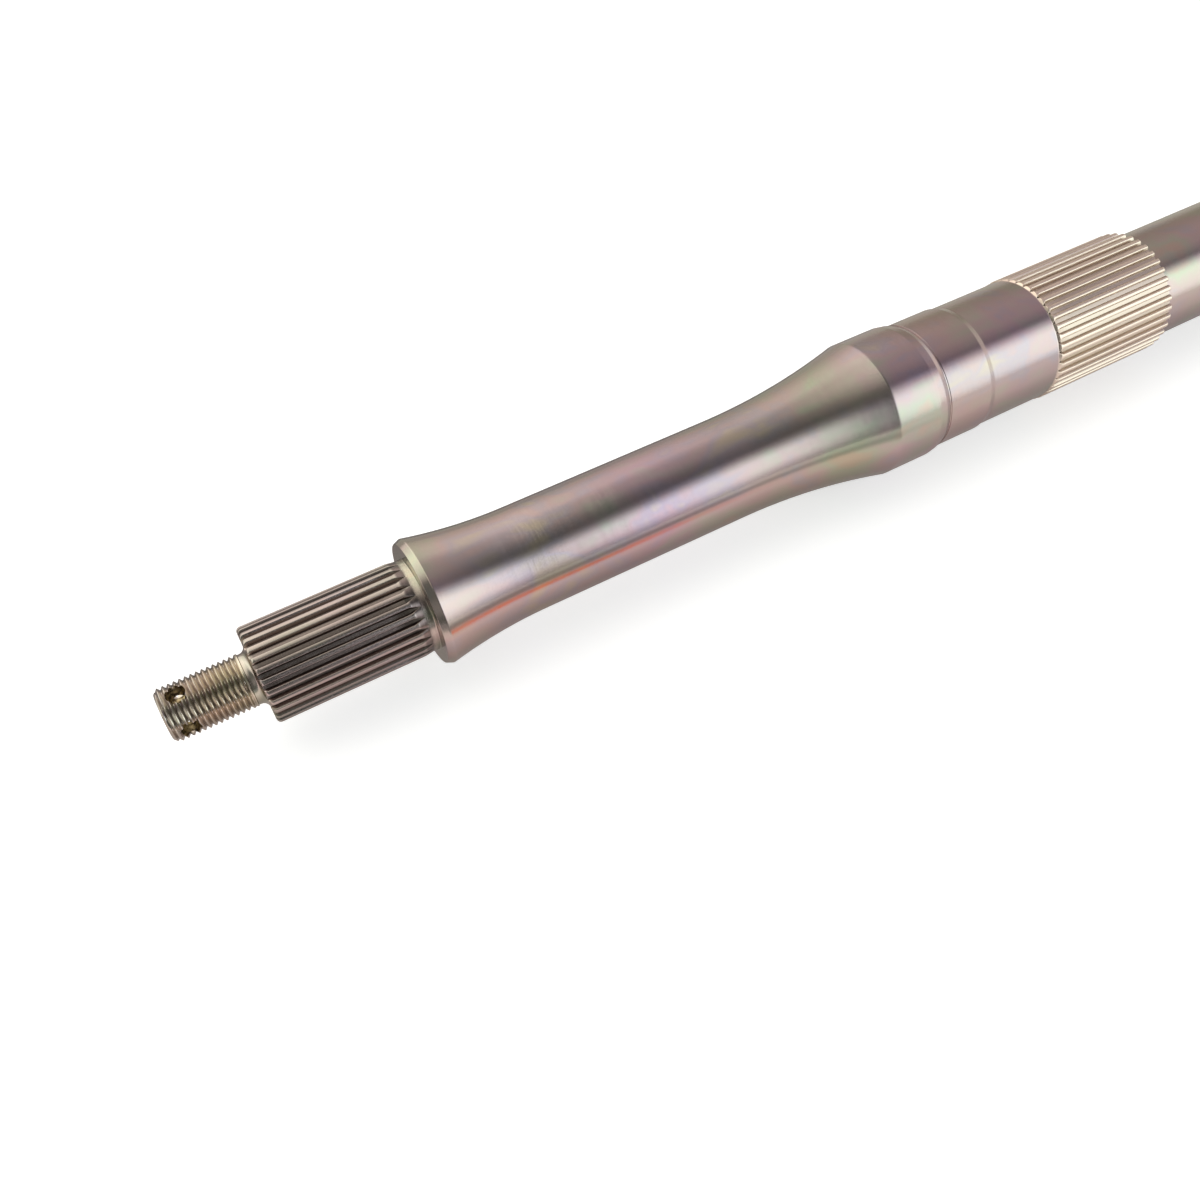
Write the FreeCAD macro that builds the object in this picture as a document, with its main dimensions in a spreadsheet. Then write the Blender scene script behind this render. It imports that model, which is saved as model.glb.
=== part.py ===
import FreeCAD, Part
import Sketcher
import math
import os

# Rear axle shaft of a sport quad, turned from one bar of steel.
# The shaft lies along X with its middle at the origin. One cotter hole of each end is upright,
# and the first tooth of every spline points straight down, so that a gap points up.
# Inside the body, stations are measured from the near end face, towards +X.

# Driving sizes, in millimetres: name, value, what it is
SIZES = [
    ("overall_length", 880.0, "end face to end face"),
    ("thread_diameter", 14.3, "outside diameter of the threaded stubs"),
    ("thread_length", 21.4, "threaded part of a stub"),
    ("end_chamfer", 1.1, "chamfer of each end face"),
    ("stub_length", 23.7, "end face to the front of the hub spline"),
    ("neck_diameter", 13.6, "plain neck behind the thread"),
    ("neck_cone", 0.8, "small cone from the neck into the front of the hub spline"),
    ("cotter_diameter", 5.0, "crossed cotter pin holes"),
    ("cotter_station", 4.9, "end face to the centre of the cotter holes"),
    ("hub_diameter", 26.0, "over the teeth of the hub splines"),
    ("hub_length", 44.5, "front of the hub spline to the face behind it"),
    ("hub_teeth", 27, "teeth of each hub spline"),
    ("hub_depth", 1.25, "depth of its gaps"),
    ("hub_crest", 1.35, "width of a tooth at its crest"),
    ("hub_base", 2.2, "width of a tooth at its foot"),
    ("hub_entry", 1.2, "front edge of the teeth, rounded off in two bevels"),
    ("hub_runout_radius", 3.3, "floor of a gap curving out at its closed end, in two slopes"),
    ("hub_taper", 2.2, "the crests tapering down to the ring"),
    ("hub_ring_diameter", 25.4, "plain ring between the teeth and the face"),
    ("hub_ring_length", 2.0, "length of that ring"),
    ("collar_face_diameter", 33.6, "flat face that the wheel hub seats on"),
    ("collar_diameter", 35.2, "rim of the collar"),
    ("collar_edge", 1.85, "length of the sloping edge round the face"),
    ("waist_diameter", 29.4, "the slender part of the hourglass"),
    ("collar_flare_radius", 142.0, "hollow curve from the collar to the waist"),
    ("shoulder_flare_radius", 205.0, "hollow curve from the waist to the shoulder"),
    ("hourglass_length", 138.9, "rim of the collar to the start of the shoulder"),
    ("shoulder_diameter", 40.5, "shoulder that stops the sprocket hub"),
    ("shoulder_length", 14.2, "its cylindrical part"),
    ("shoulder_slope_length", 2.6, "first, gentle slope off the shoulder"),
    ("shoulder_slope_drop", 0.45, "how far that slope falls"),
    ("shoulder_step_length", 1.6, "second, steeper slope down to the relief"),
    ("relief_width", 0.5, "narrow grinding relief behind the shoulder"),
    ("relief_depth", 0.25, "its depth below the pilot seat"),
    ("pilot_diameter", 38.5, "seat that centres the sprocket hub"),
    ("pilot_length", 14.5, "length of that seat"),
    ("pilot_lead", 1.85, "slope from the seat down to the land"),
    ("sprocket_diameter", 38.4, "over the teeth of the sprocket spline"),
    ("sprocket_length", 45.5, "length of the teeth"),
    ("sprocket_teeth", 39, "teeth of the sprocket spline"),
    ("sprocket_depth", 1.15, "depth of its gaps"),
    ("sprocket_crest", 1.3, "width of a tooth at its crest"),
    ("sprocket_base", 2.25, "width of a tooth at its foot"),
    ("sprocket_entry", 0.5, "bevelled edge at the open end of the teeth"),
    ("sprocket_runout_radius", 1.6, "floor of a gap rising at its closed end"),
    ("sprocket_taper", 0.8, "the crests tapering down to the land"),
    ("sprocket_ring_diameter", 37.6, "plain land before the sprocket spline"),
    ("sprocket_ring_length", 24.4, "length of that land"),
    ("shaft_diameter", 34.0, "plain main shaft"),
    ("far_chamfer", 1.0, "edge of the shaft's face behind the far hub spline"),
]

# Cuts and joints reach this far past the surfaces that they work on
CLEAR = 0.3
# The cutter that finishes a row of teeth starts this far ahead of them
AHEAD = 1.0
# An edge is found by its station and radius to this tolerance
SAME_EDGE = 1e-4

# The splines whose rounds are large enough to take two slopes each
TWO_SLOPES = ("hub",)

# The stretches with teeth: name, its spline, the open front, the face behind, and
# 1 where the teeth run from the front towards +X or -1 where they run towards -X
TOOTHED = [
    ("near_hub", "hub", "stub_length", "stub_length + hub_length", 1),
    ("far_hub", "hub", "overall_length - stub_length",
     "overall_length - stub_length - hub_length", -1),
    ("sprocket", "sprocket", "land_start + sprocket_ring_length + sprocket_length",
     "land_start", -1),
]

# Sizes that follow from the driving ones, as formulas of the sheet
STATIONS = [
    ("near_end", "0"),
    ("near_thread_end", "thread_length"),
    ("near_cotter", "cotter_station"),
    ("far_end", "overall_length"),
    ("far_thread_end", "overall_length - thread_length"),
    ("far_cotter", "overall_length - cotter_station"),
    ("collar_rim", "near_hub_face + collar_edge"),
    ("waist_start", "collar_rim + collar_flare_length"),
    ("waist_end", "shoulder_start - shoulder_flare_length"),
    ("shoulder_start", "collar_rim + hourglass_length"),
    ("shoulder_end", "shoulder_start + shoulder_length"),
    ("shoulder_slope_end", "shoulder_end + shoulder_slope_length"),
    ("relief_start", "shoulder_slope_end + shoulder_step_length"),
    ("pilot_start", "relief_start + relief_width"),
    ("pilot_end", "pilot_start + pilot_length"),
    ("land_start", "pilot_end + pilot_lead"),
    ("far_chamfer_start", "far_hub_face - far_chamfer"),
]
DIAMETERS = [
    ("shoulder_slope_diameter", "shoulder_diameter - 2 * shoulder_slope_drop"),
    ("relief_diameter", "pilot_diameter - 2 * relief_depth"),
    ("far_chamfer_diameter", "shaft_diameter - 2 * far_chamfer"),
]


def arc_reach(rise, radius):
    """The formula for the length of an arc that starts level and rises by so much."""
    return "sqrt((%s) * (2 * (%s) - (%s)))" % (rise, radius, rise)


def flare_rows():
    """Lengths of the two hollow curves, which end level with the waist."""
    ends = [("collar", "collar_diameter"), ("shoulder", "shoulder_diameter")]
    return [(name + "_flare_length",
             arc_reach("(%s - waist_diameter) / 2" % diameter, name + "_flare_radius"))
            for name, diameter in ends]


def tooth_rows(spline):
    """Diameters and widths of a spline that follow from its driving sizes."""
    lean = "({0}_base - {0}_crest) / {0}_depth".format(spline)
    rows = [
        ("root_diameter", "{0}_diameter - 2 * {0}_depth"),
        ("round_diameter", "{0}_diameter - 2 * {0}_entry"),
        ("rough_diameter", "{0}_ring_diameter + 2 * %g" % CLEAR),
        ("outer_diameter", "{0}_diameter + 2 * %g" % AHEAD),
        ("high", "{0}_diameter / 2 + %g" % CLEAR),
        ("low", "{0}_root_diameter / 2 - %g" % CLEAR),
        ("high_width", "{0}_crest - %g * %s" % (CLEAR, lean)),
        ("low_width", "{0}_base + %g * %s" % (CLEAR, lean)),
        ("bevel", "{0}_entry * (1 - sqrt(0.5))"),
        ("bevel_diameter", "{0}_diameter - 2 * {0}_bevel"),
        ("turn", "acos(1 - ({0}_rough_diameter - {0}_root_diameter) / 2 / {0}_runout_radius)"),
        ("bend_diameter",
         "{0}_root_diameter + 2 * {0}_runout_radius * (1 - cos({0}_turn / 2))"),
        ("bend_length", "{0}_runout_radius * sin({0}_turn / 2)"),
        ("rough_length", "{0}_runout_radius * sin({0}_turn)"),
        ("runout_length", "{0}_bend_length + ({0}_rough_length - {0}_bend_length) * "
         "({0}_ring_diameter - {0}_bend_diameter) / ({0}_rough_diameter - {0}_bend_diameter)"),
    ]
    return [(spline + "_" + name, formula.format(spline)) for name, formula in rows]


def stretch_rows(stretch, spline, front, face, way):
    """Stations of one toothed stretch, from its open front to the face behind it."""
    sign, back = ("+", "-") if way > 0 else ("-", "+")
    rows = [
        ("front", front),
        ("face", face),
        ("ahead", "{0}_front %s %g" % (back, AHEAD)),
        ("bevel_end", "{0}_front %s {1}_bevel" % sign),
        ("round_end", "{0}_front %s {1}_entry" % sign),
        ("ring_start", "{0}_face %s {1}_ring_length" % back),
        ("taper_start", "{0}_ring_start %s {1}_taper" % back),
        ("runout_start", "{0}_ring_start %s {1}_runout_length" % back),
        ("bend", "{0}_runout_start %s {1}_bend_length" % sign),
        ("rough_start", "{0}_runout_start %s {1}_rough_length" % sign),
        ("tooth_length", "abs({0}_ring_start - {0}_front) + %g" % CLEAR),
    ]
    return [(stretch + "_" + name, formula.format(stretch, spline)) for name, formula in rows]


def fill_sheet(doc):
    """Write the driving sizes as plain numbers and the rest as formulas."""
    sheet = doc.addObject("Spreadsheet::Sheet", "Sizes")
    rows = [(name, str(value), note) for name, value, note in SIZES]
    derived = DIAMETERS + flare_rows() + tooth_rows("hub") + tooth_rows("sprocket") + STATIONS
    for stretch in TOOTHED:
        derived += stretch_rows(*stretch)
    rows += [(name, "=" + formula, "") for name, formula in derived]
    for number, (name, content, note) in enumerate(rows, start=1):
        sheet.set("A%d" % number, name)
        sheet.set("B%d" % number, content)
        sheet.set("C%d" % number, note)
        sheet.setAlias("B%d" % number, name)
    doc.recompute()
    return sheet


def origin_part(body, role):
    """The body's own origin plane or axis with that role."""
    return next(item for item in body.Origin.OriginFeatures if item.Role == role)


def new_sketch(body, name, plane):
    sketch = body.newObject("Sketcher::SketchObject", name)
    sketch.AttachmentSupport = [(origin_part(body, plane), "")]
    sketch.MapMode = "FlatFace"
    return sketch


def new_feature(body, kind, name):
    feature = body.newObject("PartDesign::" + kind, name)
    body.Tip = feature
    return feature


def hold(sketch, kind, where, value, expression):
    """Add a constraint with a size and tie it to the sheet."""
    number = sketch.addConstraint(Sketcher.Constraint(kind, *where, value))
    sketch.setExpression("Constraints[%d]" % number, expression)


def join_ends(sketch, pieces):
    """Make a closed loop of the pieces, each ending where the next one starts."""
    for piece, following in zip(pieces, pieces[1:] + pieces[:1]):
        sketch.addConstraint(Sketcher.Constraint("Coincident", piece[0], piece[2],
                                                 following[0], following[1]))


def add_line(sketch, start, end):
    """A line, as its number in the sketch and the numbers of its start and end points."""
    return sketch.addGeometry(Part.LineSegment(start, end), False), 1, 2


def add_hollow(sketch, start, end, radius):
    """A short hollow arc, its centre away from the axle."""
    half = (end - start) / 2
    across = FreeCAD.Vector(-half.y, half.x, 0).normalize()
    outward = across if across.y > 0 else -across
    centre = start + half + outward * math.sqrt(radius ** 2 - half.Length ** 2)
    circle = Part.Circle(centre, FreeCAD.Vector(0, 0, 1), radius)
    first, last = [math.atan2(point.y - centre.y, point.x - centre.x) for point in (start, end)]
    turn = (last - first) % (2 * math.pi)
    if turn < math.pi:
        return sketch.addGeometry(Part.ArcOfCircle(circle, first, last), False), 1, 2
    return sketch.addGeometry(Part.ArcOfCircle(circle, last, first), False), 2, 1


def turned_section(body, sheet, name, outline):
    """A closed half section. Each corner is (station, diameter), and then the name of a radius
    where a hollow arc follows it. A corner with no diameter lies on the axis."""
    sketch = new_sketch(body, name + "_section", "XZ_Plane")
    points = []
    for station, diameter, *_ in outline:
        height = 0.0 if diameter is None else sheet.get(diameter) / 2
        points.append(FreeCAD.Vector(sheet.get(station), height, 0))
    pieces = []
    for corner, start, end in zip(outline, points, points[1:] + points[:1]):
        if len(corner) == 2:
            pieces.append(add_line(sketch, start, end))
        else:
            pieces.append(add_hollow(sketch, start, end, sheet.get(corner[2])))
    join_ends(sketch, pieces)
    for corner, piece, point in zip(outline, pieces, points):
        where = (-1, 1, piece[0], piece[1])
        if corner[0] == "near_end":
            sketch.addConstraint(Sketcher.Constraint("PointOnObject", piece[0], piece[1], -2))
        else:
            hold(sketch, "DistanceX", where, point.x, "Sizes." + corner[0])
        if corner[1] is None:
            sketch.addConstraint(Sketcher.Constraint("PointOnObject", piece[0], piece[1], -1))
        else:
            hold(sketch, "DistanceY", where, point.y, "Sizes." + corner[1] + " / 2")
        if len(corner) > 2:
            hold(sketch, "Radius", (piece[0],), sheet.get(corner[2]), "Sizes." + corner[2])
    return sketch


def turn_round(body, kind, name, sketch):
    """Turn a section about the axle's axis, to add a Revolution or cut a Groove."""
    feature = new_feature(body, kind, name)
    feature.Profile = sketch
    feature.ReferenceAxis = (sketch, ["H_Axis"])
    feature.Angle = 360
    body.Document.recompute()
    return feature


def turned(body, sheet, name, outline):
    """A turned length of the bar. The outline runs over its surface, and closes on the axis."""
    closed = [(outline[0][0], None)] + outline + [(outline[-1][0], None)]
    return turn_round(body, "Revolution", name, turned_section(body, sheet, name, closed))


def bevel_ring(body, sheet, name, station, diameter, amount):
    """Chamfer the circular edge at a station. The amount names a size of the sheet."""
    base = body.Tip
    across, radius = sheet.get(station), sheet.get(diameter) / 2
    found = None
    for number, edge in enumerate(base.Shape.Edges, start=1):
        curve = edge.Curve
        if isinstance(curve, Part.Circle) and abs(curve.Radius - radius) < SAME_EDGE:
            if abs(curve.Center.x - across) < SAME_EDGE:
                found = "Edge%d" % number
    if found is None:
        raise RuntimeError("%s finds no edge at station %.3f" % (name, across))
    feature = new_feature(body, "Chamfer", name)
    feature.Base = (base, [found])
    feature.setExpression("Size", "Sizes." + amount)
    body.Document.recompute()
    return feature


def tooth_section(body, sheet, stretch, spline):
    """One tooth at the bottom of the axle, let into the root and reaching past the crest."""
    low, high = sheet.get(spline + "_low"), sheet.get(spline + "_high")
    half_low = sheet.get(spline + "_low_width") / 2
    half_high = sheet.get(spline + "_high_width") / 2
    sketch = new_sketch(body, stretch + "_tooth_section", "YZ_Plane")
    sketch.setExpression("AttachmentOffset.Base.z", "Sizes.%s_front" % stretch)
    corners = [(-half_low, -low), (half_low, -low), (half_high, -high), (-half_high, -high)]
    points = [FreeCAD.Vector(across, up, 0) for across, up in corners]
    pieces = [add_line(sketch, start, end) for start, end in zip(points, points[1:] + points[:1])]
    join_ends(sketch, pieces)
    foot, crest = pieces[0][0], pieces[2][0]
    for level in (foot, crest):
        sketch.addConstraint(Sketcher.Constraint("Symmetric", level, 1, level, 2, -2))
    hold(sketch, "DistanceX", (foot, 1, foot, 2), 2 * half_low, "Sizes.%s_low_width" % spline)
    hold(sketch, "DistanceX", (crest, 2, crest, 1), 2 * half_high, "Sizes.%s_high_width" % spline)
    hold(sketch, "DistanceY", (-1, 1, foot, 1), -low, "-Sizes.%s_low" % spline)
    hold(sketch, "DistanceY", (-1, 1, crest, 1), -high, "-Sizes.%s_high" % spline)
    return sketch


def teeth(body, sheet, stretch, spline, way):
    """The teeth of one stretch: one straight tooth, repeated, and turned to its outline."""
    tooth = new_feature(body, "Pad", stretch + "_tooth")
    tooth.Profile = tooth_section(body, sheet, stretch, spline)
    tooth.Reversed = way < 0
    tooth.setExpression("Length", "Sizes.%s_tooth_length" % stretch)
    body.Document.recompute()
    pattern = new_feature(body, "PolarPattern", stretch + "_teeth")
    pattern.Originals = [tooth]
    pattern.Axis = (origin_part(body, "X_Axis"), [""])
    pattern.Angle = 360
    pattern.setExpression("Occurrences", "Sizes.%s_teeth" % spline)
    body.Document.recompute()
    front = [
        (stretch + "_ahead", spline + "_round_diameter"),
        (stretch + "_front", spline + "_round_diameter"),
    ]
    if spline in TWO_SLOPES:
        front.append((stretch + "_bevel_end", spline + "_bevel_diameter"))
    outline = front + [
        (stretch + "_round_end", spline + "_diameter"),
        (stretch + "_taper_start", spline + "_diameter"),
        (stretch + "_ring_start", spline + "_ring_diameter"),
        (stretch + "_face", spline + "_ring_diameter"),
        (stretch + "_face", spline + "_outer_diameter"),
        (stretch + "_ahead", spline + "_outer_diameter"),
    ]
    section = turned_section(body, sheet, stretch + "_finish", outline)
    return turn_round(body, "Groove", stretch + "_finish", section)


def root_outline(stretch, spline):
    """The floor of the gaps, rising at their closed end to the rough ring behind."""
    floor = [
        (stretch + "_front", spline + "_root_diameter"),
        (stretch + "_runout_start", spline + "_root_diameter"),
    ]
    if spline in TWO_SLOPES:
        floor.append((stretch + "_bend", spline + "_bend_diameter"))
    return floor + [
        (stretch + "_rough_start", spline + "_rough_diameter"),
        (stretch + "_face", spline + "_rough_diameter"),
    ]


def cotter_hole(body, sheet, name, plane, station):
    """A cross hole right through a stub, upright or level."""
    sketch = new_sketch(body, name + "_section", plane)
    centre = FreeCAD.Vector(sheet.get(station), 0, 0)
    radius = sheet.get("cotter_diameter") / 2
    circle = sketch.addGeometry(Part.Circle(centre, FreeCAD.Vector(0, 0, 1), radius), False)
    sketch.addConstraint(Sketcher.Constraint("PointOnObject", circle, 3, -1))
    hold(sketch, "DistanceX", (-1, 1, circle, 3), centre.x, "Sizes." + station)
    hold(sketch, "Diameter", (circle,), 2 * radius, "Sizes.cotter_diameter")
    feature = new_feature(body, "Pocket", name)
    feature.Profile = sketch
    feature.Type = "ThroughAll"
    feature.Midplane = True
    body.Document.recompute()
    return feature


def threaded_stub(body, sheet, side):
    """Stub for the axle nut with its neck and two crossed cotter holes. Its thread is left plain."""
    front = side + "_hub_front"
    turned(body, sheet, side + "_stub", [
        (side + "_end", "thread_diameter"),
        (side + "_thread_end", "thread_diameter"),
        (side + "_thread_end", "neck_diameter"),
        (front, "neck_diameter"),
    ])
    end = side + "_end"
    bevel_ring(body, sheet, side + "_end_chamfer", end, "thread_diameter", "end_chamfer")
    bevel_ring(body, sheet, side + "_neck_cone", front, "neck_diameter", "neck_cone")
    cotter_hole(body, sheet, side + "_level_hole", "XZ_Plane", side + "_cotter")
    cotter_hole(body, sheet, side + "_upright_hole", "XY_Plane", side + "_cotter")


def axle_shaft(doc, sheet):
    body = doc.addObject("PartDesign::Body", "axle_shaft")
    body.Label = "axle_shaft"
    doc.recompute()
    body.setExpression("Placement.Base.x", "-Sizes.overall_length / 2")
    turned(body, sheet, "near_hub_root", root_outline("near_hub", "hub"))
    turned(body, sheet, "hourglass", [
        ("near_hub_face", "collar_face_diameter"),
        ("collar_rim", "collar_diameter", "collar_flare_radius"),
        ("waist_start", "waist_diameter"),
        ("waist_end", "waist_diameter", "shoulder_flare_radius"),
        ("shoulder_start", "shoulder_diameter"),
        ("shoulder_end", "shoulder_diameter"),
        ("shoulder_slope_end", "shoulder_slope_diameter"),
        ("relief_start", "relief_diameter"),
        ("pilot_start", "relief_diameter"),
        ("pilot_start", "pilot_diameter"),
        ("pilot_end", "pilot_diameter"),
        ("land_start", "sprocket_ring_diameter"),
    ])
    turned(body, sheet, "sprocket_root", root_outline("sprocket", "sprocket"))
    turned(body, sheet, "main_shaft", [
        ("sprocket_front", "shaft_diameter"),
        ("far_chamfer_start", "shaft_diameter"),
        ("far_hub_face", "far_chamfer_diameter"),
    ])
    turned(body, sheet, "far_hub_root", root_outline("far_hub", "hub"))
    for stretch, spline, _, _, way in TOOTHED:
        teeth(body, sheet, stretch, spline, way)
    for side in ("near", "far"):
        threaded_stub(body, sheet, side)
    return body


def edges_across(body, sheet, stretch):
    """How many edges a cut across the middle of a toothed stretch has."""
    middle = (sheet.get(stretch + "_round_end") + sheet.get(stretch + "_runout_start")) / 2
    across = FreeCAD.Vector(1, 0, 0)
    wires = body.Shape.slice(across, middle + body.Placement.Base.x)
    return sum(len(wire.Edges) for wire in wires)


def check(doc, sheet, bodies):
    """Stop before anything is written if any object failed, any tooth is missing or any body
    isn't one sound solid. A tooth and its gap have four edges across the axle."""
    for item in doc.Objects:
        if "Invalid" in item.State or "Error" in item.State:
            raise RuntimeError(item.Name + " failed: " + ", ".join(item.State))
    for body in bodies:
        if body.Shape.isNull() or not body.Shape.isValid() or len(body.Shape.Solids) != 1:
            raise RuntimeError(body.Label + " isn't one sound solid")
    for stretch, spline, *_ in TOOTHED:
        if edges_across(bodies[0], sheet, stretch) != 4 * sheet.get(spline + "_teeth"):
            raise RuntimeError(stretch + " has lost some of its teeth")


def main():
    doc = FreeCAD.newDocument("axle")
    sheet = fill_sheet(doc)
    bodies = [axle_shaft(doc, sheet)]
    doc.recompute()
    check(doc, sheet, bodies)
    os.makedirs("parts", exist_ok=True)
    for body in bodies:
        body.Shape.exportStep("parts/%s.step" % body.Label)
        print(body.Label, "volume %.1f mm3" % body.Shape.Volume)


main()
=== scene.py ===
import bmesh
import bpy
import math
from mathutils import Matrix, Vector


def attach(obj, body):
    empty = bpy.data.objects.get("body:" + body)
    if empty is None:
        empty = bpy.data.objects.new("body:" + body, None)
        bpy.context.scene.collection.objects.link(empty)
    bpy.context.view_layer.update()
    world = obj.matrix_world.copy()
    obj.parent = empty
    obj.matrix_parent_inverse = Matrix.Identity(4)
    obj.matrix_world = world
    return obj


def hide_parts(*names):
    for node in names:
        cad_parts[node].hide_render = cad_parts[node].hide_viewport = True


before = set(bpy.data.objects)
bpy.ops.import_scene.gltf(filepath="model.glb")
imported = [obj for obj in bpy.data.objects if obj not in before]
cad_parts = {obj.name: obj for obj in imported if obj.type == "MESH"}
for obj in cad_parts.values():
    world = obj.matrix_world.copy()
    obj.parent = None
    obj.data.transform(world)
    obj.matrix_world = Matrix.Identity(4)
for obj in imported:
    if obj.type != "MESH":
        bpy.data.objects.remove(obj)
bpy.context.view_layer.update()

# Rear axle shaft of a sport quad. Lengths are in millimetres until the mesh is finished, and
# stations run along the axle from its near end face. Angles round the axle start at the top.
MM = 0.001
LENGTH = 880.0
HALF = LENGTH / 2
TURN = 2 * math.pi

# How many columns of points go round the plain body and the stubs
BODY_COLUMNS = 240
STUB_COLUMNS = 96


class Skin:
    """Rings of points round the axle, joined one after another into one closed surface."""

    def __init__(self):
        self.points, self.faces, self.shades = [], [], []
        self.last = None

    def ring(self, station, columns):
        """Add a ring and join it to the last one. A column is (angle, radius, painted shade)."""
        first = len(self.points)
        for angle, radius, shade in columns:
            across, up = radius * math.sin(angle), radius * math.cos(angle)
            self.points.append((station - HALF, across, up))
            self.shades.append(shade)
        ring = (first, [column[0] for column in columns])
        if self.last is None:
            self.close(station, ring)
        else:
            self.join(self.last, ring)
        self.last = ring

    def join(self, old, new):
        """A strip of faces between two rings, whatever the number of columns of each."""
        (a, angles), (b, others) = old, new
        count, other = len(angles), len(others)
        if count == other:
            for i in range(count):
                j = (i + 1) % count
                self.faces.append((a + i, a + j, b + j, b + i))
            return
        i = j = 0
        while i < count or j < other:
            ahead = angles[(i + 1) % count] + (TURN if i + 1 >= count else 0)
            behind = others[(j + 1) % other] + (TURN if j + 1 >= other else 0)
            if j >= other or (i < count and ahead <= behind):
                self.faces.append((a + i, a + (i + 1) % count, b + j % other))
                i += 1
            else:
                self.faces.append((a + i % count, b + (j + 1) % other, b + j))
                j += 1

    def close(self, station, ring):
        """Close the end of the axle with a fan to its centre."""
        first, angles = ring
        centre = len(self.points)
        self.points.append((station - HALF, 0.0, 0.0))
        self.shades.append(0.0)
        for i in range(len(angles)):
            self.faces.append((centre, first + i, first + (i + 1) % len(angles)))


def circle(radius, count):
    """The columns of a plain round ring."""
    return [(TURN * i / count, radius, 0.0) for i in range(count)]


def quarter(steps):
    """Angles over a quarter of a turn."""
    return [math.pi / 2 * k / steps for k in range(steps + 1)]


# Threaded stub. The crest is how much of the depth the flat tops take off the ridges, and the
# thread fades out over its last stretch, into the neck.
THREAD = dict(radius=7.15, pitch=1.411, depth=0.84, crest=0.14, length=21.4, fade=1.3)
THREAD_STEP = THREAD["pitch"] / 8
THREAD_RELIEF = 0.12
STUB_LENGTH = 23.7
NECK_RADIUS = 6.8
NECK_FILLET = 1.7
NECK_STEPS = 6
END_CHAMFER = 1.1


def thread_columns(station, depth_in):
    """A ring across the thread: right-handed, cut back by the chamfer of the end face."""
    columns = []
    limit = THREAD["radius"] - END_CHAMFER + depth_in
    fade = min(1.0, max(0.0, (THREAD["length"] - depth_in) / THREAD["fade"]))
    for i in range(STUB_COLUMNS):
        angle = TURN * i / STUB_COLUMNS
        phase = (station / THREAD["pitch"] + i / STUB_COLUMNS) % 1.0
        rise = min(1.0, abs(2 * phase - 1) * (1 + THREAD["crest"]))
        low = (1 - rise) * fade
        radius = min(THREAD["radius"] - THREAD["depth"] * low, limit)
        # How deep a point lies in the thread's groove is kept as its painted shade
        columns.append((angle, radius, low))
    return columns


def stub_rings(face, way):
    """Rings of a stub, from its end face inwards, as (station, columns)."""
    rings = []
    for k in range(int(THREAD["length"] / THREAD_STEP) + 1):
        station = face + way * k * THREAD_STEP
        rings.append((station, thread_columns(station, k * THREAD_STEP)))
    for along in (THREAD["length"] + THREAD_RELIEF, STUB_LENGTH - NECK_FILLET):
        rings.append((face + way * along, circle(NECK_RADIUS, STUB_COLUMNS)))
    for bend in quarter(NECK_STEPS)[1:]:
        along = STUB_LENGTH - NECK_FILLET * (1 - math.sin(bend))
        radius = NECK_RADIUS + NECK_FILLET * (1 - math.cos(bend))
        rings.append((face + way * along, circle(radius, STUB_COLUMNS)))
    return rings


# Splines, from the open front. Each gap is floor wide at its root, and each tooth is crest wide
# at its top, with its edges rounded by edge. The teeth start with a rounding of radius entry. The
# floors of the gaps rise over runout, and the crests come down over taper, and both end where a
# plain ring starts, which is ring long. The last two set painted shade on gap ends and tapering
# crests.
HUB = dict(teeth=27, radius=13.0, depth=1.25, crest=1.25, floor=0.9, edge=0.12, entry=1.2,
           runout=2.9, taper=2.2, ring_radius=12.7, ring=2.0, length=44.5,
           end_shade=0.0, taper_shade=1.7)
SPROCKET = dict(teeth=39, radius=19.2, depth=1.15, crest=1.3, floor=1.1, edge=0.3, entry=0.5,
                runout=1.7, taper=0.8, ring_radius=18.8, ring=24.4, length=69.9,
                end_shade=7.0, taper_shade=0.0)
# Half of a gap's floor where it ends, and how far past the end the last toothed ring is
GAP_POINT = 0.03
RING_OVERLAP = 0.1
ENTRY_STEPS = 7
STRAIGHT_STEPS = 8
END_STEPS = 22


def gap_columns(spline, top, lift, crest_shade):
    """A ring across a spline whose crests reach top and whose gap floors are lifted.

    The floor of a gap narrows as it is lifted, so that the gap ends in a point. The last argument
    is the painted shade on the crests, and each point's shade is painted shade by its depth.
    """
    teeth, depth = spline["teeth"], spline["depth"]
    pitch = TURN / teeth
    half_open = (pitch * spline["radius"] - spline["crest"]) / 2
    lean = (half_open - spline["floor"] / 2) / depth
    full = spline["ring_radius"] - spline["radius"] + depth
    left = 1 - min(lift / full, 1.0)
    half_floor = max(spline["floor"] / 2 * left, GAP_POINT)
    floor = min(spline["radius"] - depth + lift, top)
    rise = top - floor
    edge = min(spline["edge"], rise / 2)
    open_half = half_floor + rise * lean
    # Painted shade by how deep a point lies in a gap, darker still towards a gap's closed end by
    # end_shade
    dark = left + spline["end_shade"] * (1 - left)
    hollow_shade = rise / depth * dark
    side = [(half_floor / floor, floor, hollow_shade)]
    # Three points round the edge of a tooth, as how far down from its top and out from the gap
    for down, out in ((1.0, -lean), (0.3, 0.25), (0.0, 0.9)):
        radius = top - edge * down
        shade = max(edge * down / depth * dark, crest_shade)
        side.append(((open_half + edge * out) / radius, radius, shade))
    columns = []
    for k in range(teeth):
        centre = k * pitch
        columns.append((centre, floor, hollow_shade))
        columns += [(centre + angle, radius, shade) for angle, radius, shade in side]
        columns.append((centre + pitch / 2, top, crest_shade))
        columns += [(centre + pitch - angle, radius, shade) for angle, radius, shade in side[::-1]]
    return columns


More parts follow.
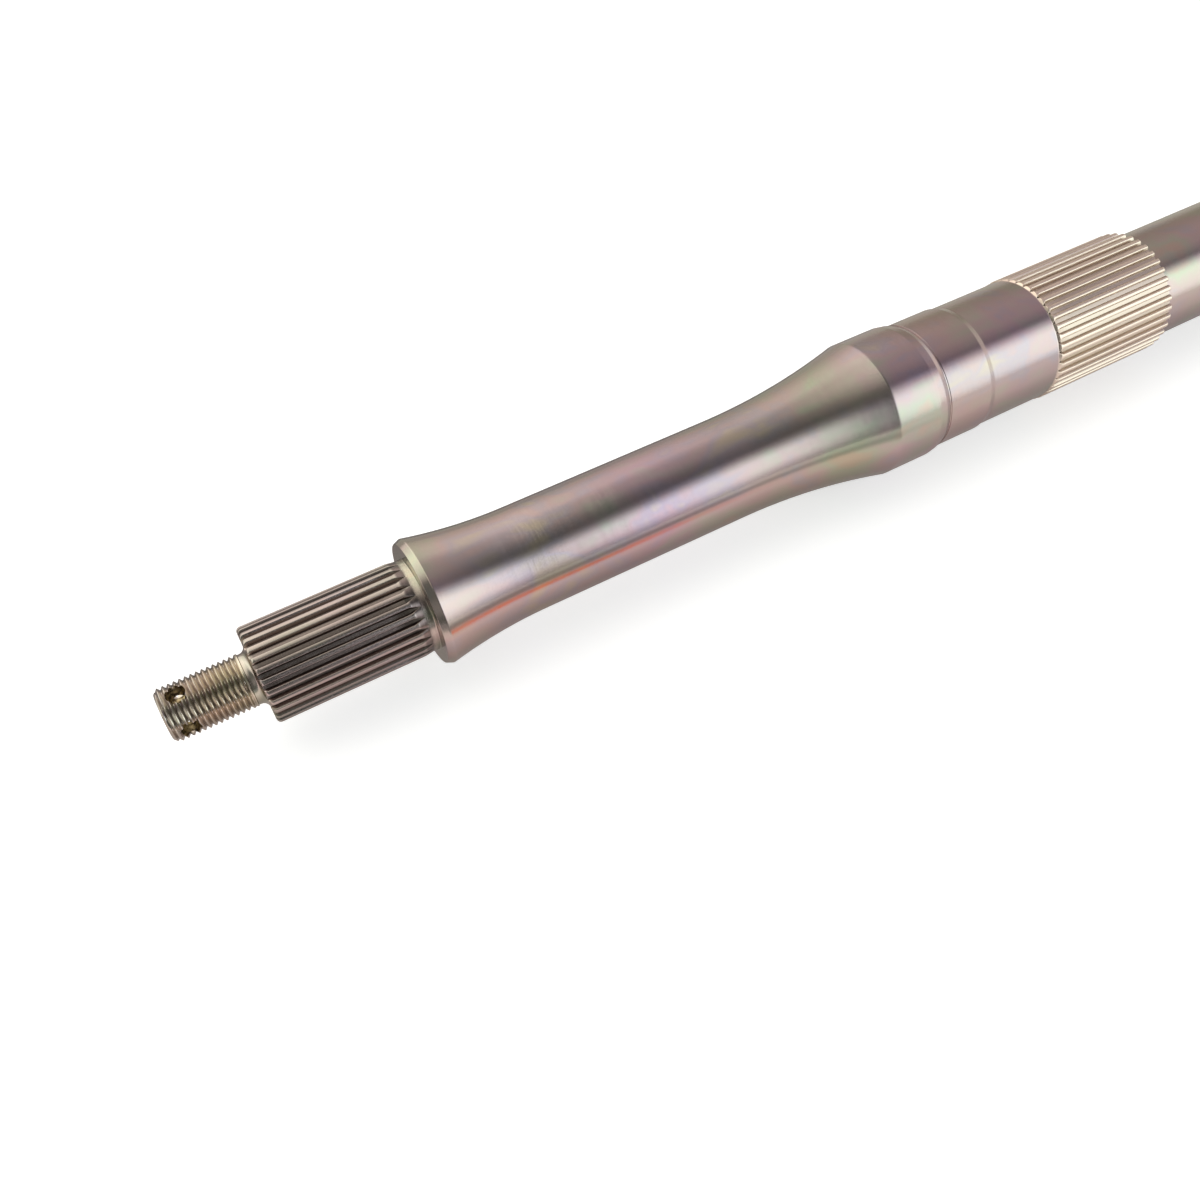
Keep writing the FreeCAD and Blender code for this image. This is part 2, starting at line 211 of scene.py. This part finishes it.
def spline_rings(spline, front, way):
    """Rings of a spline from its open front to the plain ring behind its gaps."""
    entry, radius, ring_radius = spline["entry"], spline["radius"], spline["ring_radius"]
    ring_start = spline["length"] - spline["ring"]
    taper_start = ring_start - spline["taper"]
    runout_start = ring_start - spline["runout"]
    rise = ring_radius - (radius - spline["depth"])
    last = min(runout_start, taper_start)
    along = [entry * (1 - math.cos(bend)) for bend in quarter(ENTRY_STEPS)]
    for start, end, steps in ((entry, last, STRAIGHT_STEPS),
                              (last, ring_start + RING_OVERLAP, END_STEPS)):
        along += [start + (end - start) * k / steps for k in range(1, steps + 1)]
    rings = []
    for step in along:
        top = radius
        crest_shade = 0.0
        lift = rise * max(0.0, step - runout_start) / spline["runout"]
        if step < entry:
            top = radius - entry + math.sqrt(entry ** 2 - (entry - step) ** 2)
        elif step > taper_start:
            share = min(1.0, (step - taper_start) / spline["taper"])
            top = radius + (ring_radius - radius) * share
            # The tapering crests get painted shade
            crest_shade = spline["taper_shade"] * share
        rings.append((front + way * step, gap_columns(spline, top, lift, crest_shade)))
    return rings


HUB_FILLET = 0.35
HUB_FILLET_STEPS = 5
HUB_RING_COLUMNS = 8 * HUB["teeth"]


def hub_rings(front, way):
    """Rings of a hub spline, its plain ring and the small fillet into the face behind it."""
    rings = spline_rings(HUB, front, way)
    for bend in quarter(HUB_FILLET_STEPS):
        step = HUB["length"] - HUB_FILLET * (1 - math.sin(bend))
        radius = HUB["ring_radius"] + HUB_FILLET * (1 - math.cos(bend))
        rings.append((front + way * step, circle(radius, HUB_RING_COLUMNS)))
    return rings


# Turned edges: in how many steps they are rounded, and how far from the corner, as a multiple of
# the rounding, a point on each side keeps the long faces there straight
ROUNDING_STEPS = 4
ROUNDING_GUARD = 1.35


def rounded(corners):
    """Round the corners of a profile. A corner is (station, radius, how far it is rounded)."""
    profile = [corners[0][:2]]
    for before, here, after in zip(corners, corners[1:], corners[2:]):
        point = Vector(here[:2])
        if not here[2]:
            profile.append(tuple(point))
            continue
        back, on = Vector(before[:2]) - point, Vector(after[:2]) - point
        start = point + back.normalized() * here[2]
        end = point + on.normalized() * here[2]
        guard = here[2] * ROUNDING_GUARD
        if guard < 0.5 * back.length:
            profile.append(tuple(point + back.normalized() * guard))
        for k in range(ROUNDING_STEPS + 1):
            share = k / ROUNDING_STEPS
            spot = start * (1 - share) ** 2 + point * 2 * share * (1 - share) + end * share ** 2
            profile.append(tuple(spot))
        if guard < 0.5 * on.length:
            profile.append(tuple(point + on.normalized() * guard))
    return profile + [corners[-1][:2]]


def hollow(start, end, radius, level_at_end, steps):
    """Corners along a hollow arc between two points that runs level at one of them."""
    level = end if level_at_end else start
    corners = []
    for k in range(1, steps):
        station = start[0] + (end[0] - start[0]) * k / steps
        away = station - level[0]
        corners.append((station, level[1] + radius - math.sqrt(radius ** 2 - away ** 2), 0.0))
    return corners


# Turned body. The points are (station, radius).
HUB_FACE = STUB_LENGTH + HUB["length"]
COLLAR_RIM = (70.05, 17.6)
COLLAR_HOLLOW = 142.0
WAIST_RADIUS = 14.7
WAIST_START = (98.6, WAIST_RADIUS)
WAIST_MIDDLE = (130.0, WAIST_RADIUS)
WAIST_END = (161.6, WAIST_RADIUS)
SHOULDER_RADIUS = 20.25
SHOULDER_HOLLOW = 205.0
SHOULDER_START = (208.95, SHOULDER_RADIUS)
RELIEF_RADIUS = 19.1
PILOT_RADIUS = 19.25
LAND_START = 244.2
LAND_RADIUS = SPROCKET["ring_radius"]
SPROCKET_FRONT = 314.1
TEETH_END = SPROCKET_FRONT - SPROCKET["length"] + SPROCKET["ring"]
SHAFT_RADIUS = 17.0
SHAFT_PIECES = 12
FAR_FACE = LENGTH - HUB_FACE
FAR_CHAMFER = 1.0


def hourglass_profile():
    """Collar, waist, shoulder, pilot seat and land, up to the sprocket spline."""
    corners = [(HUB_FACE, 13.6, 0.0), (HUB_FACE, 16.8, 0.12), COLLAR_RIM + (0.25,)]
    corners += hollow(COLLAR_RIM, WAIST_START, COLLAR_HOLLOW, True, 14)
    corners += [WAIST_START + (0.0,), WAIST_MIDDLE + (0.0,), WAIST_END + (0.0,)]
    corners += hollow(WAIST_END, SHOULDER_START, SHOULDER_HOLLOW, False, 20)
    corners += [
        SHOULDER_START + (0.3,),
        (223.15, SHOULDER_RADIUS, 0.2),
        (225.75, 19.8, 0.2),
        (227.4, RELIEF_RADIUS, 0.06),
        (227.8, RELIEF_RADIUS, 0.0),
        (227.85, PILOT_RADIUS, 0.05),
        (242.35, PILOT_RADIUS, 0.2),
        (LAND_START, LAND_RADIUS, 0.2),
        (LAND_START + 12.0, LAND_RADIUS, 0.0),
        (TEETH_END - 0.9, LAND_RADIUS, 0.0),
    ]
    return rounded(corners)


def shaft_profile():
    """Main shaft from the front of the sprocket spline to its chamfered far face."""
    corners = [(SPROCKET_FRONT, 17.7, 0.0), (SPROCKET_FRONT, SHAFT_RADIUS, 0.7)]
    for k in range(1, SHAFT_PIECES):
        station = SPROCKET_FRONT + (FAR_FACE - SPROCKET_FRONT) * k / SHAFT_PIECES
        corners.append((station, SHAFT_RADIUS, 0.0))
    corners += [
        (FAR_FACE - FAR_CHAMFER, SHAFT_RADIUS, 0.2),
        (FAR_FACE, SHAFT_RADIUS - FAR_CHAMFER, 0.15),
        (FAR_FACE, 15.0, 0.0),
    ]
    return rounded(corners)


def body_rings(profile):
    """Plain rings of a profile, as (station, columns)."""
    return [(station, circle(radius, BODY_COLUMNS)) for station, radius in profile]


def axle_mesh():
    rings = stub_rings(0.0, 1) + hub_rings(STUB_LENGTH, 1)
    rings += body_rings(hourglass_profile())
    rings += spline_rings(SPROCKET, SPROCKET_FRONT, -1)[::-1]
    rings += body_rings(shaft_profile())
    rings += hub_rings(LENGTH - STUB_LENGTH, -1)[::-1] + stub_rings(LENGTH, -1)[::-1]
    skin = Skin()
    for station, columns in rings:
        skin.ring(station, columns)
    skin.close(LENGTH, skin.last)
    mesh = bpy.data.meshes.new("axle")
    mesh.from_pydata([[MM * value for value in point] for point in skin.points], [], skin.faces)
    shade = mesh.attributes.new("shade", "FLOAT", "POINT")
    shade.data.foreach_set("value", skin.shades)
    work = bmesh.new()
    work.from_mesh(mesh)
    bmesh.ops.recalc_face_normals(work, faces=work.faces)
    work.to_mesh(mesh)
    work.free()
    return mesh


# Crossed cotter holes, cut by bars that reach through the stub
HOLE_RADIUS = 2.5
HOLE_STATION = 4.9
HOLE_COLUMNS = 64
CUTTER_LENGTH = 20.0


def hole_cutter(name, matrix):
    """A round bar through the holes of both stubs that point the same way."""
    work = bmesh.new()
    for station in (HOLE_STATION, LENGTH - HOLE_STATION):
        place = Matrix.Translation((MM * (station - HALF), 0, 0)) @ matrix
        bmesh.ops.create_cone(work, cap_ends=True, segments=HOLE_COLUMNS,
                              radius1=MM * HOLE_RADIUS, radius2=MM * HOLE_RADIUS,
                              depth=MM * CUTTER_LENGTH, matrix=place)
    mesh = bpy.data.meshes.new(name)
    work.to_mesh(mesh)
    work.free()
    # The walls of the holes carry full painted shade
    shade = mesh.attributes.new("shade", "FLOAT", "POINT")
    shade.data.foreach_set("value", [1.0] * len(mesh.vertices))
    cutter = bpy.data.objects.new(name, mesh)
    bpy.context.scene.collection.objects.link(cutter)
    return cutter


SHARP_ANGLE = math.radians(34)


def build_axle():
    axle = bpy.data.objects.new("axle", axle_mesh())
    bpy.context.scene.collection.objects.link(axle)
    cutters = [hole_cutter("upright", Matrix()),
               hole_cutter("level", Matrix.Rotation(math.pi / 2, 4, "X"))]
    for cutter in cutters:
        cut = axle.modifiers.new(cutter.name, "BOOLEAN")
        cut.operation = "DIFFERENCE"
        cut.solver = "EXACT"
        cut.object = cutter
    ready = axle.evaluated_get(bpy.context.evaluated_depsgraph_get())
    mesh = bpy.data.meshes.new_from_object(ready)
    axle.modifiers.clear()
    axle.data = mesh
    for cutter in cutters:
        bpy.data.objects.remove(cutter)
    mesh.shade_smooth()
    mesh.set_sharp_from_angle(angle=SHARP_ANGLE)
    return axle


class Nodes:
    """A material's or the world's node tree, with short calls to add to it."""

    def __init__(self, owner):
        owner.use_nodes = True
        self.tree = owner.node_tree
        self.tree.nodes.clear()

    def add(self, kind, inputs=(), **settings):
        """A node with its settings, and its inputs given as values or other nodes' outputs."""
        node = self.tree.nodes.new("ShaderNode" + kind)
        for name, value in settings.items():
            setattr(node, name, value)
        for name, value in dict(inputs).items():
            socket = node.inputs[name]
            if isinstance(value, bpy.types.NodeSocket):
                self.tree.links.new(value, socket)
            else:
                socket.default_value = value
        return node

    def math(self, operation, *values):
        return self.add("Math", dict(enumerate(values)), operation=operation).outputs[0]

    def ramp(self, factor, stops):
        """Colours by a factor from 0 to 1, from stops of (factor, colour)."""
        node = self.add("ValToRGB", {0: factor})
        band = node.color_ramp
        while len(band.elements) > 1:
            band.elements.remove(band.elements[0])
        band.elements[0].position = stops[0][0]
        band.elements[0].color = stops[0][1]
        for place, colour in stops[1:]:
            band.elements.new(place).color = colour
        return node.outputs[0]

    def mix(self, factor, first, second, blend="MIX"):
        """Two colours mixed. They are the Mix node's inputs 6 and 7, and its output 2."""
        inputs = {0: factor, 6: first, 7: second}
        return self.add("Mix", inputs, data_type="RGBA", blend_type=blend).outputs[2]

    def rise(self, value, low, high):
        """From 0 at low to 1 at high, level outside them. Where low is higher it falls."""
        return self.add("MapRange", {0: value, 1: low, 2: high}).outputs[0]

    def between(self, value, low, high, soft):
        """1 between low and high, and 0 outside them."""
        return self.math("MULTIPLY", self.rise(value, low - soft, low + soft),
                         self.rise(value, high + soft, high - soft))

    def dot(self, vector, fixed):
        node = self.add("VectorMath", {0: vector, 1: fixed}, operation="DOT_PRODUCT")
        return node.outputs["Value"]


def paint(red, green, blue):
    """A colour as it is seen on the screen, from 0 to 255, as a shader takes it."""
    def linear(value):
        value /= 255
        return value / 12.92 if value <= 0.04045 else ((value + 0.055) / 1.055) ** 2.4
    return (linear(red), linear(green), linear(blue), 1.0)


# The plating's tint at stations along the axle, and the cloudy tints over it
TINTS = ((5, (184, 188, 202)), (11, (176, 164, 146)), (23, (204, 198, 184)),
         (30, (172, 160, 150)), (74, (182, 175, 160)), (92, (178, 168, 157)),
         (112, (168, 163, 152)), (135, (172, 156, 161)), (165, (168, 163, 149)),
         (195, (166, 168, 146)), (214, (172, 162, 160)), (234, (176, 164, 151)),
         (256, (170, 160, 155)), (330, (172, 162, 151)), (440, (170, 158, 152)),
         (640, (168, 162, 150)), (812, (170, 158, 154)))
CLOUDS = ((0.34, (186, 162, 128)), (0.41, (156, 176, 142)), (0.48, (174, 162, 150)),
          (0.54, (184, 148, 152)), (0.60, (160, 148, 168)), (0.67, (188, 174, 140)))
CLOUD_SIZE = {"Scale": 34.0, "Detail": 3.0, "Roughness": 0.55, "Distortion": 0.6}
STREAK_SIZE = {"Scale": 170.0, "Detail": 2.0, "Roughness": 0.5, "Distortion": 0.3}
STREAK_STRETCH = (0.4, 1.0, 1.0)
STREAK_SHARE = 0.3
CLOUD_STRENGTH = 0.38

# Fine turning marks: how close they are along the axle, how they darken and how high they are
MARK_SCALE = 2600.0
MARK_TINT, MARK_STRENGTH = (142, 126, 124), 0.38
MARK_BUMP = {"Strength": 0.45, "Distance": 0.00002}

# Tints of the toothed zones, as (colour, strength), then the painted shade of their hollows and of
# the ends of gaps and crests, and the tints of the speckled holes
THREAD_TINT = ((208, 197, 175), 0.6)
HUB_TINT = ((154, 144, 139), 0.6)
SPROCKET_TINT = ((226, 209, 190), 0.8)
HOLLOW_SHADE_TINT = (126, 115, 109)
THREAD_HOLLOW_SHADE, SPROCKET_HOLLOW_SHADE = 0.6, 0.3
END_SHADE_TINT = (50, 42, 36)
HOLE_TINTS = ((82, 68, 46), (206, 188, 146))
HOLE_SPECKLE = {"Scale": 800.0, "Detail": 2.0}

# Roughness by the turning marks, and how much rougher some zones are
ROUGHNESS = (0.08, 0.27)
ROUGHER_SPROCKET, ROUGHER_HUB, ROUGHER_HOLE = 0.16, 0.06, 0.3


def steel_material():
    """Zinc-plated steel: mauve grey, soft cloudy tints, fine turning marks, painted shade in
    hollows.
    """
    material = bpy.data.materials.new("plated_steel")
    n = Nodes(material)
    place = n.add("TexCoord").outputs["Object"]
    parts = n.add("SeparateXYZ", {0: place}).outputs
    along = parts["X"]
    shade = n.add("Attribute", attribute_name="shade").outputs["Fac"]

    # Zones, in millimetres: the stubs and hub splines are the same at both ends
    station = n.math("MULTIPLY_ADD", along, 1 / MM, HALF)
    from_end = n.math("SUBTRACT", HALF, n.math("ABSOLUTE", n.math("DIVIDE", along, MM)))
    squares = n.math("ADD", n.math("POWER", parts["Y"], 2.0), n.math("POWER", parts["Z"], 2.0))
    radius = n.math("DIVIDE", n.math("SQRT", squares), MM)
    thread = n.rise(from_end, THREAD["length"] + 0.1, THREAD["length"] - 0.1)
    hub = n.between(from_end, STUB_LENGTH + 0.6, HUB_FACE - HUB["ring"], 0.6)
    sprocket = n.between(station, TEETH_END, SPROCKET_FRONT, 0.4)
    hole = n.math("MULTIPLY", n.rise(radius, 6.15, 5.9),
                  n.between(from_end, 0.5, STUB_LENGTH, 0.2))

    # Tints: clouds, and streaks along the axle
    cloud = n.add("TexNoise", {"Vector": place, **CLOUD_SIZE}).outputs["Fac"]
    drawn = n.add("Mapping", {"Vector": place, "Scale": STREAK_STRETCH}).outputs[0]
    streak = n.add("TexNoise", {"Vector": drawn, **STREAK_SIZE}).outputs["Fac"]
    tone = n.math("MULTIPLY_ADD", streak, STREAK_SHARE,
                  n.math("MULTIPLY", cloud, 1 - STREAK_SHARE))
    clouds = n.ramp(tone, [(level, paint(*tint)) for level, tint in CLOUDS])
    plate = n.ramp(n.math("DIVIDE", station, LENGTH),
                   [(at / LENGTH, paint(*tint)) for at, tint in TINTS])
    plate = n.mix(CLOUD_STRENGTH, plate, clouds)

    marks = n.add("TexNoise", {"W": n.math("MULTIPLY", along, MARK_SCALE), "Detail": 3.0,
                               "Roughness": 0.75}, noise_dimensions="1D").outputs["Fac"]
    marked = n.math("MULTIPLY", n.rise(marks, 0.35, 0.7), MARK_STRENGTH)
    colour = n.mix(marked, plate, paint(*MARK_TINT))
    for zone, (tint, strength) in ((thread, THREAD_TINT), (hub, HUB_TINT),
                                   (sprocket, SPROCKET_TINT)):
        colour = n.mix(n.math("MULTIPLY", zone, strength), colour, paint(*tint))

    # Painted shade in hollows between ridges and teeth and at the ends of gaps and crests;
    # speckled holes
    hollow_shade = n.math("MULTIPLY", n.math("MULTIPLY", thread, n.rise(shade, 0.25, 1.0)), THREAD_HOLLOW_SHADE)
    hollow_shade = n.math("MULTIPLY_ADD", hub, n.rise(shade, 0.04, 0.4), hollow_shade)
    hollow_shade = n.math("MULTIPLY_ADD", sprocket, n.math("MULTIPLY", shade, SPROCKET_HOLLOW_SHADE), hollow_shade)
    colour = n.mix(hollow_shade, colour, paint(*HOLLOW_SHADE_TINT))
    painted_end_shade = n.math("MULTIPLY", n.math("ADD", hub, sprocket), n.rise(shade, 1.2, 2.0))
    colour = n.mix(painted_end_shade, colour, paint(*END_SHADE_TINT))
    speckle = n.add("TexNoise", {"Vector": place, **HOLE_SPECKLE}).outputs["Fac"]
    drilled = n.mix(n.rise(speckle, 0.4, 0.6), *[paint(*tint) for tint in HOLE_TINTS])
    colour = n.mix(hole, colour, drilled)

    rough = n.add("MapRange", {0: marks, 3: ROUGHNESS[0], 4: ROUGHNESS[1]}).outputs[0]
    for zone, more in ((sprocket, ROUGHER_SPROCKET), (hub, ROUGHER_HUB), (hole, ROUGHER_HOLE)):
        rough = n.math("MULTIPLY_ADD", zone, more, rough)
    ridges = n.add("Bump", {"Height": marks, **MARK_BUMP})
    shader = n.add("BsdfPrincipled", {
        "Base Color": colour, "Metallic": 1.0, "Roughness": rough,
        "Normal": ridges.outputs[0],
    })
    n.add("OutputMaterial", {0: shader.outputs[0]})
    return material


# What reflections see of the floor, by its distance in metres in front of the axle (less than 0)
# or behind it, where it is level from 0.08 on: a painted shadow under the axle, and by its near
# end painted dark again past a painted bright strip in front of it
FLOOR_BY_NEAR_END = ((-0.3, (0.36, 0.36, 0.38)), (-0.125, (0.3, 0.3, 0.3)),
                     (-0.106, (0.66, 0.6, 0.6)), (-0.09, (1.05, 0.92, 0.94)),
                     (-0.052, (1.0, 0.86, 0.88)), (-0.03, (0.76, 0.65, 0.65)),
                     (-0.012, (0.5, 0.44, 0.43)), (0.02, (0.32, 0.29, 0.28)),
                     (0.05, (0.18, 0.17, 0.17)), (0.08, (0.2, 0.19, 0.19)),
                     (0.08, (0.42, 0.4, 0.38)))
FLOOR_ELSEWHERE = ((-0.125, (1.0, 1.0, 1.0)), (-0.05, (0.9, 0.86, 0.86)),
                   (-0.03, (0.7, 0.64, 0.65)), (-0.012, (0.5, 0.46, 0.46)),
                   (0.02, (0.42, 0.4, 0.39)), (0.06, (0.4, 0.39, 0.35)),
                   (0.08, (0.5, 0.49, 0.44)))
# The lists cover a span of the floor in metres, and this share of it lies in front of the axle
FLOOR_SPAN, FLOOR_AHEAD = 0.4, 0.8
# Along the axle, the second list gives way to the first between these two places
FLOOR_CHANGE = (-0.13, -0.24)
# A painted warm reflection, a strip of the floor in front of the collar that only reflections see:
# where it lies across the axle, where it starts and ends along the axle, and how soft its long
# edges are
WARM_GLINT = (1.15, 0.28, 0.13, 1.0)
WARM_GLINT_DEPTH = (-0.094, -0.068)
WARM_GLINT_START = (-0.352, -0.336)
WARM_GLINT_END = (-0.24, -0.3)
WARM_GLINT_SOFT = 0.003
# The floor's own colour, how it glows for the camera and for reflections, and how far it goes
FLOOR_COLOUR = (0.86, 0.86, 0.86, 1.0)
CAMERA_GLOW, MIRROR_GLOW = 0.55, 0.45
FLOOR_REACH = 12.0
WHITE = (1.0, 1.0, 1.0, 1.0)


def floor_material():
    """Pale, and white where the camera sees it in the light; reflections see painted shade and
    light.
    """
    material = bpy.data.materials.new("floor")
    n = Nodes(material)
    path = n.add("LightPath").outputs
    mirrored = n.math("MAXIMUM", path["Is Glossy Ray"], path["Is Transmission Ray"])
    spot = n.add("SeparateXYZ", {0: n.add("NewGeometry").outputs["Position"]}).outputs
    across = n.math("MULTIPLY_ADD", spot["Y"], 1 / FLOOR_SPAN, FLOOR_AHEAD)
    # Painted shadow and painted bright strips on the floor, seen only in reflections
    near, elsewhere = [
        n.ramp(across, [(at / FLOOR_SPAN + FLOOR_AHEAD, light + (1.0,)) for at, light in bands])
        for bands in (FLOOR_BY_NEAR_END, FLOOR_ELSEWHERE)]
    shown = n.mix(n.rise(spot["X"], *FLOOR_CHANGE), elsewhere, near)
    # The painted warm reflection strip
    warm_glint = n.math("MULTIPLY", n.rise(spot["X"], *WARM_GLINT_START), n.rise(spot["X"], *WARM_GLINT_END))
    warm_glint = n.math("MULTIPLY", warm_glint, n.between(spot["Y"], *WARM_GLINT_DEPTH, WARM_GLINT_SOFT))
    tint = n.mix(mirrored, WHITE, n.mix(warm_glint, shown, WARM_GLINT))
    lit = n.add("BsdfDiffuse", {"Color": n.mix(1.0, FLOOR_COLOUR, tint, "MULTIPLY")})
    strength = n.math("MULTIPLY_ADD", path["Is Camera Ray"], CAMERA_GLOW,
                      n.math("MULTIPLY", mirrored, MIRROR_GLOW))
    glow = n.add("Emission", {"Color": tint, "Strength": strength})
    total = n.add("AddShader", {0: lit.outputs[0], 1: glow.outputs[0]})
    n.add("OutputMaterial", {0: total.outputs[0]})
    return material


def add_floor():
    work = bmesh.new()
    bmesh.ops.create_grid(work, x_segments=1, y_segments=1, size=FLOOR_REACH)
    mesh = bpy.data.meshes.new("floor")
    work.to_mesh(mesh)
    work.free()
    floor = bpy.data.objects.new("floor", mesh)
    floor.location.z = -MM * SHOULDER_RADIUS
    floor.data.materials.append(floor_material())
    bpy.context.scene.collection.objects.link(floor)


# The camera stands on the side of the axle that FACING points to, and RISING is up in its view
TILT = math.radians(37)
FACING = Vector((0, -math.sin(TILT), math.cos(TILT)))
RISING = Vector((0, math.cos(TILT), math.sin(TILT)))

# The studio's light by direction: degrees round the axle from FACING towards RISING, and the
# light there. Each list is for one lean along the axle, from backwards to far ahead.
STUDIO = (
    ((-80, (0.7, 0.65, 0.65)), (-64, (0.28, 0.27, 0.26)), (-46, (0.12, 0.14, 0.13)),
     (-30, (0.36, 0.37, 0.35)), (-14, (0.34, 0.35, 0.33)), (0, (0.2, 0.22, 0.2)),
     (32, (0.2, 0.22, 0.2)), (52, (1.3, 1.3, 1.2)), (85, (2.0, 2.0, 1.85)),
     (120, (1.2, 1.15, 1.1))),
    ((-60, (0.4, 0.38, 0.38)), (-45, (0.15, 0.15, 0.14)), (-20, (0.1, 0.1, 0.09)),
     (0, (0.1, 0.1, 0.09)), (14, (0.34, 0.34, 0.31)), (34, (1.4, 1.37, 1.25)),
     (70, (2.0, 1.9, 1.75)), (92, (2.1, 2.0, 1.9)), (115, (1.5, 1.4, 1.35))),
    ((-70, (0.45, 0.4, 0.4)), (-52, (0.16, 0.15, 0.15)), (-30, (0.05, 0.05, 0.06)),
     (2, (0.07, 0.07, 0.08)), (18, (0.26, 0.25, 0.25)), (34, (0.6, 0.57, 0.54)),
     (50, (1.5, 1.43, 1.35)), (96, (1.8, 1.7, 1.6)), (115, (1.1, 1.0, 0.95))),
    ((-60, (0.34, 0.33, 0.35)), (-51, (0.62, 0.6, 0.66)), (-42, (1.3, 1.24, 1.42)),
     (-32, (1.85, 1.9, 2.1)), (-14, (1.85, 1.98, 2.2)), (-6, (1.1, 1.2, 1.32)),
     (2, (0.42, 0.45, 0.48)), (11, (0.14, 0.15, 0.15)), (28, (0.21, 0.22, 0.22)),
     (45, (0.47, 0.45, 0.46)), (62, (0.7, 0.64, 0.65)), (80, (1.2, 1.1, 1.1)),
     (98, (1.2, 1.07, 1.04)), (122, (0.8, 0.74, 0.68))),
    ((-75, (1.0, 1.0, 1.05)), (-55, (1.65, 1.8, 1.8)), (-42, (2.1, 2.35, 2.3)),
     (-10, (2.25, 2.55, 2.5)), (-1, (1.7, 1.82, 1.95)), (6, (0.95, 0.9, 1.08)),
     (15, (0.25, 0.21, 0.29)), (24, (0.44, 0.38, 0.45)), (38, (0.6, 0.51, 0.56)),
     (70, (0.64, 0.56, 0.57)), (112, (0.48, 0.44, 0.38)), (130, (0.5, 0.48, 0.41))),
    ((0, (1.2, 1.15, 1.1)),),
)
# Between which two leans each list gives way to the next
LEANS = ((-0.35, -0.1), (0.105, 0.14), (0.165, 0.24), (0.4, 0.58), (0.82, 0.95))


def set_world():
    """A soft studio: one long bright panel beside the axle, with dark and grey walls.

    The camera itself sees plain white past the floor.
    """
    world = bpy.data.worlds.new("studio")
    bpy.context.scene.world = world
    n = Nodes(world)
    way = n.add("TexCoord").outputs["Generated"]
    turn = n.math("ARCTAN2", n.dot(way, RISING), n.dot(way, FACING))
    place = n.math("MULTIPLY_ADD", turn, 1 / TURN, 0.5)
    lean = n.add("SeparateXYZ", {0: way}).outputs["X"]
    walls = [n.ramp(place, [(degrees / 360 + 0.5, light + (1.0,)) for degrees, light in bands])
             for bands in STUDIO]
    sky = walls[0]
    for (low, high), wall in zip(LEANS, walls[1:]):
        sky = n.mix(n.rise(lean, low, high), sky, wall)
    sky = n.mix(n.add("LightPath").outputs["Is Camera Ray"], sky, WHITE)
    back = n.add("Background", {0: sky, 1: 1.0})
    n.add("OutputWorld", {0: back.outputs[0]})


# The camera's axes, as parts along the axle, FACING and RISING, and a point on the axle's middle
# line by its near end, with its place as seen from the camera: right, up and ahead
CAMERA_RIGHT = (0.86945186, 0.28401508, -0.40421393)
CAMERA_UP = (0.40288137, 0.06588377, 0.91287783)
CAMERA_AHEAD = (0.28590221, -0.95655358, -0.05714162)
SIGHTED = (-438.5, 0, 0)
SEEN_AT = (-104.84825759, -28.4230024, 287.60817965)
SENSOR_WIDTH, LENS = 36.0, 35.4


def add_camera():
    """The photograph's view: the near end is close and low on the left."""
    right, up, ahead = [Vector((1, 0, 0)) * parts[0] + FACING * parts[1] + RISING * parts[2]
                        for parts in (CAMERA_RIGHT, CAMERA_UP, CAMERA_AHEAD)]
    eye = Vector(SIGHTED) - right * SEEN_AT[0] - up * SEEN_AT[1] - ahead * SEEN_AT[2]
    camera = bpy.data.cameras.new("camera")
    camera.sensor_fit = "HORIZONTAL"
    camera.sensor_width = SENSOR_WIDTH
    camera.lens = LENS
    camera.clip_start = 0.01
    item = bpy.data.objects.new("camera", camera)
    axes = Matrix((right, up, -ahead)).transposed().to_4x4()
    item.matrix_world = Matrix.Translation(eye * MM) @ axes
    bpy.context.scene.collection.objects.link(item)
    bpy.context.scene.camera = item


axle = build_axle()
axle.data.materials.clear()
axle.data.materials.append(steel_material())
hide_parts("axle_shaft")
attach(axle, "root")

add_floor()
set_world()
add_camera()
bpy.context.scene.view_settings.view_transform = "Standard"
